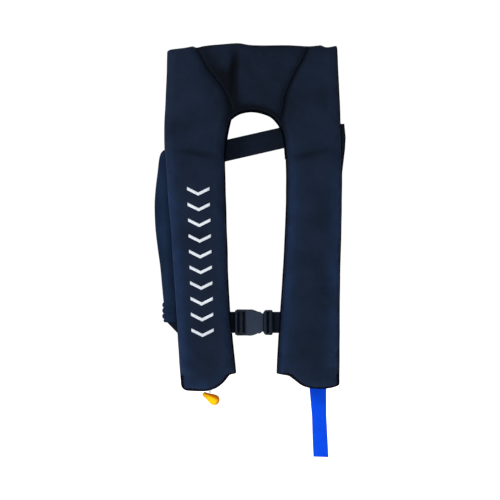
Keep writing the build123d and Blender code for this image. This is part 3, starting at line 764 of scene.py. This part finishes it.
def stitches(name, line, pitch=0.0034, length=0.0024, keep=None, place=on_cover, toward=-1):
    """A row of thread stitches along a flat line, on the surface that place finds.
    toward is that surface's outer side in y."""
    run = run_along(line)
    verts, quads = [], []
    for at in np.arange(pitch, run[-1] - pitch, pitch):
        p, q = (np.array([np.interp(at + s * length / 2, run, line[:, k]) for k in (0, 1)]) for s in (-1, 1))
        if keep is not None and not keep(*((p + q) / 2)):
            continue
        a, b, c = place(*p, 0.0), place(*q, 0.0), place(*((p + q) / 2), STITCH_HIGH)
        if None in (a, b, c):
            continue
        side = (b - a).normalized().cross(Vector((0, 1, 0))) * STITCH_WIDE / 2
        start = len(verts)
        verts += [a, c + side, b, c - side, c - Vector((0, STITCH_DEEP * toward, 0))]
        quads += [(start, start + 1, start + 3), (start + 1, start + 2, start + 3),
                  (start, start + 4, start + 1), (start + 1, start + 4, start + 2),
                  (start + 2, start + 4, start + 3), (start + 3, start + 4, start)]
    return make_mesh(name, verts, quads, thread)


def inset_line(depth):
    """The outline moved in by depth."""
    return outline + inward(outline) * depth


def on_collar(x, z):
    return bool(inside(np.array([[x, z]]), collar_line)[0])


def behind_cover(x, z, lift):
    return on_cover(x, z, lift, True)


def beside(line, shift):
    """A line moved sideways by shift."""
    return line + sideways(np.gradient(line, axis=0)) * shift


HEM_INSET = 0.0042
hem = inset_line(HEM_INSET)
hem = np.vstack([hem, hem[:1]])
left_stitches = stitches("stitches_left", hem, keep=lambda x, z: x < 0 and not on_collar(x, z))
right_stitches = stitches("stitches_right", hem, keep=lambda x, z: x > 0 and not on_collar(x, z))
collar_stitches = stitches("stitches_collar", hem, keep=on_collar)
seam_rows = [stitches(f"stitches_seam_{k}", beside(line[2:-2], shift))
             for k, (line, shift) in enumerate(((seams[0], -0.0042), (seams[1], 0.0042)), start=1)]
seam_rows += [stitches(f"stitches_back_{k}", beside(line[2:-2], shift), place=behind_cover, toward=1)
              for k, (line, shift) in enumerate(((seams[0], 0.003), (seams[1], -0.003)), start=1)]
seam_rows.append(stitches("stitches_back_hem", hem, place=behind_cover, toward=1))

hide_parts("collar_front_cover")
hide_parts("left_front_cover", "left_flap")
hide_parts("right_front_cover", "right_flap")
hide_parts("collar_back_cover", "left_back_cover", "right_back_cover")
for obj in (collar_front, inner_cover, collar_stitches, *seam_rows):
    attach(obj, "jacket")
for obj, flap in ((left_front, "left_flap"), (right_front, "right_flap"), (left_stitches, "left_flap"),
                  (right_stitches, "right_flap")):
    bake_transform(obj)

# ---- hook and loop closure: both strips follow the inside of the cover's edge ----


STRIP_OUT, STRIP_LOW, STRIP_HIGH, STRIP_EDGE = 0.12, -0.405, -0.280, 0.0014


def closure_strip(name, node, body, side, deep, far, thick):
    """Tape that lies deep metres under the cover, from near its edge to far in from it."""
    from_edge = edge[faces].mean(axis=1)
    rows = (middle[:, 0] * side > STRIP_OUT) & (middle[:, 1] > STRIP_LOW) & (middle[:, 1] < STRIP_HIGH)
    rows &= (from_edge > STRIP_EDGE) & (from_edge < far)
    used, own_faces = renumbered(front_faces[rows], len(cover_verts))
    whole = make_mesh("whole", cover_verts[:len(flat)], front_faces, hook_loop)
    normals = np.array([v.normal for v in whole.data.vertices])
    bpy.data.objects.remove(whole)
    obj = make_mesh(name, cover_verts[used] - normals[used] * deep, own_faces, hook_loop)
    modifier(obj, "SOLIDIFY", thickness=thick, offset=-1.0)
    stand_in(settle(obj), body, "hook_and_loop", node)


for side, sign in (("left", -1), ("right", 1)):
    closure_strip(f"hook_{side}", f"{side}_hook_strip", f"{side}_flap", sign, 0.0014, 0.011, 0.0008)
    closure_strip(f"loop_{side}", f"{side}_loop_strip", "jacket", sign, 0.0026, 0.008, 0.0010)

# ---- flat sewn pieces: webbing, belts and straps ----


def cos_sin(degrees):
    return math.cos(math.radians(degrees)), math.sin(math.radians(degrees))


def flat_piece(name, sides, y_front, y_back, material, grain=0.0, step=6.0, wave=0.0, wave_size=0.03,
               crease=None):
    """Cloth or webbing cut to a flat outline: rounded edges, thread direction and soft waves."""
    border = closed_curve(sides, step)
    half = (y_back - y_front) / 2
    plan, tris, rim = layout(border, step * MM, (half * 0.45, half * 1.2))
    rise = rounded(rim, half * 1.2)
    lift = wave * ripple(plan, wave_size, 1.0)
    if crease is not None:
        lift = lift + crease(plan)
    mid = (y_front + y_back) / 2 + lift
    free = rim > 0
    verts, front, back = two_sheets(plan, tris, free, mid - half * rise, mid + half * rise)
    c, s = cos_sin(grain)
    weave = np.column_stack([plan[:, 1] * c - plan[:, 0] * s, plan[:, 0] * c + plan[:, 1] * s])
    return make_mesh(name, verts, np.vstack([front, back]), material, np.vstack([weave, weave[free]]))


# Levels in y of the belts' front and back faces, from the layer next to the cover outward.
NEAR_LAYER = (0.0027, 0.0045)
FAR_LAYER = (0.0045, 0.0063)
PLUG_LAYER = (0.0048, 0.0066)
TAIL_LAYER = (0.0066, 0.0084)
BELT_WAVE = 0.0002
BACK_BELT_LEAN = 12.9
SIDE_BELT_LEAN = 88
BELT_LOW, BELT_HIGH = -345.9, -307.1


def belt_between(left, right):
    """A level stretch of the waist belt."""
    return straight((left, BELT_LOW), (right, BELT_LOW), (right, BELT_HIGH), (left, BELT_HIGH))


BACK_SHAPE = straight((-164, -57.5), (161, 17), (161.5, 34), (140, 51.5), (-164, -17.5))
RISER_SHAPE = straight((163.5, 37), (166, 12), (165, -8), (160, -50), (151.5, -200), (149, -345), (111, -345),
                       (113, -200), (119, -50), (123, -7), (123, 33))
FRONT_LEFT_SHAPE = straight((-165, -287), (-165, -322), (-142, BELT_LOW), (-18.5, BELT_LOW),
                            (-18.5, BELT_HIGH), (-122, BELT_HIGH), (-127, -287))
back_belt = flat_piece("belt_back", BACK_SHAPE, *FAR_LAYER, webbing, grain=BACK_BELT_LEAN, wave=BELT_WAVE)
right_riser = flat_piece("belt_right_side", RISER_SHAPE, *NEAR_LAYER, webbing, grain=SIDE_BELT_LEAN,
                         wave=BELT_WAVE)
front_left_belt = flat_piece("belt_front_left", FRONT_LEFT_SHAPE, *FAR_LAYER, webbing, wave=BELT_WAVE)
front_right_belt = flat_piece("belt_front_right", belt_between(21.2, 106), *PLUG_LAYER, webbing)
free_tail = flat_piece("belt_tail", belt_between(-104, -39), *TAIL_LAYER, webbing)
SIDE_OUTER = [(-160, -9), (-169, -13), (-174.5, -24), (-178.5, -55), (-182, -85), (-183.5, -115),
              (-182, -154), (-178, -190), (-173.5, -223), (-170, -260), (-167, -291)]
SIDE_INNER = [(-127, -291), (-131, -223), (-140, -154), (-142, -115), (-138, -55), (-130, -14)]


def side_folds(plan):
    """Long soft folds down the side belt."""
    x, z = plan[:, 0] + 0.16, plan[:, 1]
    return 0.0011 * np.sin(x / 0.0042 + z * 9) * np.clip((-z - 0.03) / 0.05, 0, 1)


SIDE_SHAPE = [SIDE_OUTER, [SIDE_OUTER[-1], SIDE_INNER[0]], SIDE_INNER, [SIDE_INNER[-1], SIDE_OUTER[0]]]
side_cloth = flat_piece("belt_left_side", SIDE_SHAPE, *NEAR_LAYER, cover_cloth_lit, grain=90, step=4.0,
                        wave=0.0005, wave_size=0.02, crease=side_folds)
for belt, node in ((back_belt, "back_belt"), (right_riser, "right_side_belt"),
                   (front_left_belt, "left_front_belt")):
    stand_in(belt, "jacket", "webbing", node)
stand_in(side_cloth, "jacket", "cover_fabric", "left_side_belt")
stand_in(front_right_belt, "male_buckle", "webbing", "right_front_belt")
stand_in(free_tail, "belt_free_tail", "webbing", "belt_free_tail")


def gathered_sleeve():
    """Shirred sleeve round the fold of the belt: bulging gathers with tight valleys between them."""
    gathers = [(-163.6, -294.6, 6.0), (-163.6, -304.6, 6.0), (-163.6, -314.9, 6.0), (-163.8, -322.9, 3.5)]
    rows, around = 84, 28
    top, tall = -286.5, 39.8
    verts, weave = [], []
    for i in range(rows + 1):
        z = top - tall * i / rows
        reach = [x - math.sqrt(max(0.0, r * r - (z - level) ** 2)) for x, level, r in gathers
                 if abs(z - level) < r]
        left = min([-166.4 if z > -320 else -163.0] + reach)
        bulge = min(1.0, max(0.0, (-165.4 - left) / 4.2))
        right = -144.0 + 1.2 * bulge
        front, back = 0.7 + 1.9 * (1 - bulge), 8.3 - 1.6 * (1 - bulge)
        for k in range(around):
            turn = 2 * math.pi * k / around
            wide = abs(math.cos(turn)) ** 0.55 * math.copysign(1, math.cos(turn))
            deep = abs(math.sin(turn)) ** 0.7 * math.copysign(1, math.sin(turn))
            x = (left + right) / 2 + (right - left) / 2 * wide
            y = (front + back) / 2 + (back - front) / 2 * deep
            crimp = 0.25 * math.sin(z * 2.6 + x * 0.9 + k * 0.7)
            verts.append((x * MM, (y + crimp * 0.6) * MM, (z + crimp) * MM))
            weave.append((x * MM, (z + 0.4 * y) * MM))
    return make_mesh("sleeve_gathered", verts, tube_faces(rows + 1, around), cover_cloth_lit, weave)


stand_in(gathered_sleeve(), "jacket", "cover_fabric", "gathered_sleeve")

# ---- blue strap: one ribbon from its patch to the straight-cut end ----

STRAP_LAYER = (0.0003, 0.0021)
STRAP_SHAPE = [(94.7, -376), (125.5, -376), (130.4, -447), (130.6, -497), (132.8, -541), (134.4, -572.5),
               (106.8, -571.5), (105.3, -541), (104, -497), (99.6, -447)]
blue_strap = flat_piece("strap_blue", straight(*STRAP_SHAPE), *STRAP_LAYER, blue_webbing, grain=88, step=4.0,
                        wave=0.0003)
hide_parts("pull_strap_anchor", "pull_strap")
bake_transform(blue_strap)

# ---- stitching on the webbing ----


def tacks(name, rows, y):
    """Short rows of stitches on a flat face at y. Each row is a pair of ends in millimetres."""
    def face(x, z, lift):
        return Vector((x, y * MM + lift, z))

    made = [stitches(f"{name}_{k}", open_curve(ends, 3.0), pitch=0.0027, length=0.0020, place=face, toward=1)
            for k, ends in enumerate(rows)]
    for obj in made:
        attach(obj, "jacket")


def turned(x, z, degrees, points):
    """Points about a centre, turned with the belt they lie on."""
    c, s = cos_sin(degrees)
    return [(x + px * c - pz * s, z + px * s + pz * c) for px, pz in points]


BUCKLE_Z = -326.5
KEEPERS = [(-96, BUCKLE_Z, 0), (86, BUCKLE_Z, 0), (134, -150, 87.7), (-95, -21.8, BACK_BELT_LEAN),
           (90, 20.6, BACK_BELT_LEAN)]
KEEPER_FACE, PATCH_FACE = 9.9, 3.3
for number, (x, z, lean) in enumerate(KEEPERS, start=1):
    ends = [turned(x, z, lean, [(-9.5, side * 20.8), (9.5, side * 20.8)]) for side in (-1, 1)]
    tacks(f"tack_keeper_{number}", ends, KEEPER_FACE)
PATCH_BOX = turned(110.5, -387, 0, [(-13, -12), (13, -12), (13, 12), (-13, 12)])
tacks("tack_patch", [*zip(PATCH_BOX, PATCH_BOX[1:] + PATCH_BOX[:1]), PATCH_BOX[::2], PATCH_BOX[1::2]],
      PATCH_FACE)

# ---- reflective marks, printed on the cover ----

PRINT_LIFT = 0.00035
PRINT_THICK = 0.0003
FIRST_MARK = (-101.5, -89)
MARK_STEP = (0.85, -28.1)
MARK_HALF, MARK_RISE, MARK_BAND = 0.020, 0.010, 0.0056


def chevron_marks(name, first, last):
    """Small chevrons in a row down the left lobe, as a thin print that follows the cloth."""
    columns, rows = 17, 4
    verts, quads, weave = [], [], []
    for index in range(first, last):
        x, z = ((at + step * index) * MM for at, step in zip(FIRST_MARK, MARK_STEP))
        start = len(verts)
        for out in np.linspace(-1, 1, columns):
            for k in range(rows):
                px = x + MARK_HALF * out
                pz = z - MARK_RISE / 2 + MARK_RISE * abs(out) + MARK_BAND * (k / (rows - 1) - 0.5)
                verts.append(on_cover(px, pz, PRINT_LIFT))
                weave.append((px, pz))
        for i in range(columns - 1):
            for k in range(rows - 1):
                a = start + i * rows + k
                quads.append((a, a + rows, a + rows + 1, a + 1))
    obj = make_mesh(name, verts, quads, print_white, weave)
    modifier(obj, "SOLIDIFY", thickness=PRINT_THICK, offset=-1.0)
    return settle(obj)


for name, first, last, body in (("upper_marks", 0, 6, "jacket"), ("lower_marks", 6, 10, "left_flap")):
    stand_in(chevron_marks(f"print_{name}", first, last), body, "reflective_white", name)

# ---- pull cord and toggle ----

# The lever, the cord, the toggle and both springs share one level in y.
CORD_Y = -0.0265
CORD_THICK = 0.003
CORD_ROUTE = [(-0.081, CORD_Y, -0.411), (-0.0814, CORD_Y, -0.432), (-0.081, CORD_Y, -0.4515)]


def pull_cord():
    """Braided cord from the lever's eye down into the toggle."""
    curve = bpy.data.curves.new("cord_pull", "CURVE")
    curve.dimensions = "3D"
    curve.resolution_u = 16
    curve.bevel_depth = CORD_THICK / 2
    curve.bevel_resolution = 4
    curve.use_fill_caps = True
    spline = curve.splines.new("NURBS")
    spline.points.add(len(CORD_ROUTE) - 1)
    for point, place in zip(spline.points, CORD_ROUTE):
        point.co = (*place, 1)
    spline.order_u = 3
    spline.use_endpoint_u = True
    curve.materials.append(cord_weave)
    return add("cord_pull", curve)


def pull_toggle():
    """Teardrop grip from rings of radius at places along its axis; painted light makes its lower front side
    pale yellow, painted shade leaves its top, far end and tip darker orange.
    """
    tip, end = Vector((-0.0900, CORD_Y, -0.4549)), Vector((-0.0727, CORD_Y, -0.4645))
    axis = (end - tip).normalized()
    up = Vector((0, -1, 0))
    side = axis.cross(up)
    profile = [(-0.0047, 0.0004), (-0.0046, 0.0018), (-0.0040, 0.0031), (-0.0026, 0.0041), (-0.0006, 0.0047),
               (0.003, 0.0053), (0.0066, 0.0064), (0.0102, 0.0077), (0.0136, 0.0089), (0.0168, 0.0097),
               (0.0195, 0.0100), (0.0222, 0.0096), (0.0248, 0.0083), (0.0269, 0.0063), (0.0282, 0.0038),
               (0.0287, 0.0012)]
    around = 36
    verts = []
    for at, radius in profile:
        for k in range(around):
            turn = 2 * math.pi * k / around
            parting = 1 + 0.012 * (abs(math.sin(turn)) < 0.05)
            spread = side * math.cos(turn) + up * math.sin(turn)
            verts.append(tip + axis * at + spread * radius * parting)
    obj = make_mesh("toggle", verts, tube_faces(len(profile), around, flip=True), toggle_plastic)
    # Painted light and shade by facing: the lit side turns pale yellow, the upper side and far end stay
    # darker orange.
    across = Vector((-axis.z, 0, axis.x))
    shaded = [max(v.normal.dot(across), v.normal.dot(axis) - 0.22) for v in obj.data.vertices]
    lit_side = [(0.55 + 0.45 * ease((v.co - tip).dot(axis) / 0.012)) * (1 - ease((s - 0.12) / 0.5))
              for v, s in zip(obj.data.vertices, shaded)]
    carry(obj, "painted_light", lit_side)
    modifier(obj, "SUBSURF", levels=1, render_levels=1)
    return settle(obj)


cord, toggle = pull_cord(), pull_toggle()
stand_in(cord, "pull_toggle", "cord_white", "pull_cord")
stand_in(toggle, "pull_toggle", "toggle_yellow", "pull_toggle")

# ---- bladder: coated yellow cloth, folded in layers ----

BLADDER_STEP = 7.0


def folded_layer(region, y_front, y_back, seed, depth):
    """One folded layer of the bladder: a slack closed sleeve with rounded folds and small wrinkles."""
    plan, tris, _ = layout(inset_line(depth), BLADDER_STEP * MM, ())
    used, tris = renumbered(tris[region(plan[tris].mean(axis=1))], len(plan))
    plan = plan[used]
    sides = np.sort(np.vstack([tris[:, (0, 1)], tris[:, (1, 2)], tris[:, (2, 0)]]), axis=1)
    pairs, uses = np.unique(sides, axis=0, return_counts=True)
    on_edge = np.isin(np.arange(len(plan)), pairs[uses == 1])
    away = np.array([np.min(lengths(plan[on_edge] - p)) for p in plan])
    half = (y_back - y_front) / 2
    rise = rounded(away, half * 1.6 + 1e-6)
    wrinkle = half * 0.35 * ripple(plan, 0.03, seed)
    mid_y = (y_front + y_back) / 2
    deep = half * rise * 0.92
    shift = wrinkle * rise * 0.3
    verts, front_tris, back_tris = two_sheets(plan, tris, ~on_edge, mid_y - deep + shift,
                                              mid_y + deep + shift)
    return verts, np.vstack([front_tris, back_tris])


def folded_bladder(name, region, y_front, y_back, count, node):
    """A stack of folded layers, joined as one piece."""
    verts, tris = [], []
    start = 0
    for k in range(count):
        low = y_front + (y_back - y_front) * k / count
        high = y_front + (y_back - y_front) * (k + 1) / count
        inset = 0.0066 + 0.0022 * ((k * 7) % 3)
        v, f = folded_layer(region, low, high, 11.0 + k, inset)
        verts.append(v)
        tris.append(f + start)
        start += len(v)
    verts = np.vstack(verts)
    obj = make_mesh(name, verts, np.vstack(tris), bladder_cloth, verts[:, (0, 2)])
    modifier(obj, "SUBSURF", levels=1, render_levels=1)
    stand_in(settle(obj), "jacket", "bladder_coated", node)


SPLIT = -0.236
COLLAR_Y, LOBE_Y, BLADDER_BACK_Y = -0.0285, -0.0125, -0.0042
for side, region, front, count in (("collar", lambda p: p[:, 1] > SPLIT, COLLAR_Y, 4),
                                   ("left", lambda p: (p[:, 1] < SPLIT) & (p[:, 0] < 0), LOBE_Y, 2),
                                   ("right", lambda p: (p[:, 1] < SPLIT) & (p[:, 0] > 0), LOBE_Y, 2)):
    folded_bladder(f"bladder_fold_{side}", region, front, BLADDER_BACK_Y, count, f"bladder_{side}")

# ---- hard parts keep their CAD shape, with softened edges and their own finishes ----


def spring(name, node, x, radius, low, high, turns, wire=0.3):
    """Round-wire compression spring between two levels, in millimetres."""
    verts = []
    per_turn, around = 26, 8
    count = turns * per_turn
    for i in range(count + 1):
        turn = 2 * math.pi * i / per_turn
        z = low + wire + (high - low - 2 * wire) * i / count
        out = Vector((math.cos(turn), math.sin(turn), 0))
        for k in range(around):
            a = 2 * math.pi * k / around
            offset = out * (radius + wire * math.cos(a)) + Vector((0, 0, z + wire * math.sin(a)))
            verts.append((Vector((x, CORD_Y / MM, 0)) + offset) * MM)
    obj = make_mesh(name, verts, tube_faces(count + 1, around), bright_steel)
    stand_in(obj, "jacket", "bright_steel", node)
    return obj


pin_spring = spring("spring_pin", "firing_pin_spring", -102, 2.9, -402.1, -394.3, 5)
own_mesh(pin_spring)
poppet_spring = spring("spring_valve", "valve_spring", 105, 2.6, -288.8, -279.2, 6)
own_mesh(poppet_spring)

FINISHES = ((inflator_plastic, "inflator_body"), (lever_plastic, "manual_lever"),
            (bright_steel, "lever_pin", "firing_pin", "cap_nut"), (cylinder_steel, "co2_cylinder"),
            (cap_plastic, "auto_cap", "dust_cap"), (cartridge_white, "water_cartridge"),
            (stem_brass, "valve_stem"), (indicator_green, "status_indicator"), (oral_rubber, "oral_tube"),
            (oral_plastic, "oral_mouthpiece", "valve_poppet"), (whistle_orange, "whistle"),
            (webbing_plain, "whistle_loop", "strap_patch", *(f"belt_keeper_{k}" for k in range(1, 6))),
            (buckle_plastic, "female_buckle", "male_buckle", "upper_prong", "lower_prong"))
SOFTENED = ((0.0009, "female_buckle", "male_buckle"), (0.0006, "upper_prong", "lower_prong"),
            (0.0008, "inflator_body", "dust_cap", "whistle", "oral_tube"),
            (0.0005, "manual_lever", "auto_cap", "oral_mouthpiece"), (0.0003, "strap_patch", "whistle_loop"))
for finish, *nodes in FINISHES:
    for node in nodes:
        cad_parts[node].data.materials.clear()
        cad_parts[node].data.materials.append(finish)
for radius, *nodes in SOFTENED:
    for node in nodes:
        modifier(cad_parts[node], "BEVEL", width=radius, segments=2, limit_method="ANGLE",
                 angle_limit=math.radians(35))

# ---- moulded faces of the buckle ----


def moulded_face(name, body, half, node_y, crown, finish, step=1.6, rim=3.2):
    """A domed plate, mirrored about the belt's centre line, that covers the flat front of a buckle part."""
    top = [(x, BUCKLE_Z + z) for x, z in half]
    bottom = [(x, BUCKLE_Z - z) for x, z in reversed(half)]
    border = closed_curve([top, [top[-1], bottom[0]], bottom, [bottom[-1], top[0]]], step)
    plan, tris, away = layout(border, step * MM, (0.0004, 0.0011))
    rise = rounded(away, rim * MM)
    middle_line = np.clip(1 - ((plan[:, 1] - BUCKLE_Z * MM) / 0.024) ** 2, 0, 1)
    y = node_y * MM - crown * MM * rise * (0.55 + 0.45 * middle_line)
    obj = make_mesh(name, np.column_stack([plan[:, 0], y, plan[:, 1]]), facing_front(plan, tris), finish)
    modifier(obj, "SOLIDIFY", thickness=0.0005, offset=-1.0)
    stand_in(settle(obj), body, "buckle_plastic")


RECEIVER_FACE = [(-17.6, 22.9), (-13, 23.9), (-7, 23.9), (-2.5, 22.4), (1.5, 20.2), (4.5, 19.7), (8.5, 20.1),
                 (11.5, 18.4), (13.4, 16.6), (15.4, 16.2)]
# The receiver's face and its ridge take the lighter copy as a painted highlight.
moulded_face("buckle_face", "jacket", RECEIVER_FACE, -0.15, 1.7, buckle_plastic_lit)
RIDGE = [(-36.4, 21.2), (-35.6, 22.2), (-34.2, 22.5), (-33.2, 21.6)]
BAR = [(-28.4, 19.3), (-27.4, 19.8), (-23.8, 19.8), (-22.8, 19.3)]
moulded_face("buckle_ridge", "jacket", RIDGE, 0.5, 1.3, buckle_plastic_lit, step=1.0, rim=1.2)
moulded_face("buckle_bar", "jacket", BAR, 0.5, 1.0, buckle_plastic, step=1.2, rim=1.6)
PLUG_SHOULDER = [(15.7, 17.2), (17.2, 20.0), (18.8, 21.9), (20.8, 22.9), (22.0, 22.6)]
PLUG_BAR = [(26.4, 22.4), (28.5, 23.0), (30.6, 22.4), (32.2, 20.8)]
moulded_face("buckle_plug", "male_buckle", PLUG_SHOULDER, 0.5, 1.6, buckle_plastic, rim=2.4)
moulded_face("buckle_plug_bar", "male_buckle", PLUG_BAR, 0.5, 1.6, buckle_plastic, rim=2.2)

# ---- binding round the neck opening ----


def neck_binding():
    """Folded tape over the cover's edge round the neck: a half-round strip that hugs the rim."""
    before = smooth(RIGHT_INSIDE[-4:], 3.0) * MM
    after = smooth(LEFT_INSIDE[:4], 3.0) * MM
    line = np.vstack([before, open_curve(NECK, 3.0), after[1:]])
    normal = sideways(np.gradient(line, axis=0))
    if not inside(line[20:21] + normal[20:21] * 0.004, outline)[0]:
        normal = -normal
    section = [(0.0034, 0.0042), (0.0012, 0.0037), (-0.0007, 0.0026), (-0.0014, 0.001), (-0.0015, -0.001),
               (-0.0008, -0.0026), (0.0012, -0.0037), (0.0034, -0.0042), (0.0030, -0.0022), (0.0012, 0.0),
               (0.0030, 0.0022)]
    verts, weave = [], []
    for p, n, run in zip(line, normal, run_along(line)):
        for out, deep in section:
            verts.append((p[0] + n[0] * out, SEAM_Y + deep * 0.95, p[1] + n[1] * out))
            weave.append((deep, run))
    return make_mesh("binding_neck", verts, tube_faces(len(line), len(section)), binding_cloth, weave)


stand_in(neck_binding(), "jacket", "binding", "neck_binding")
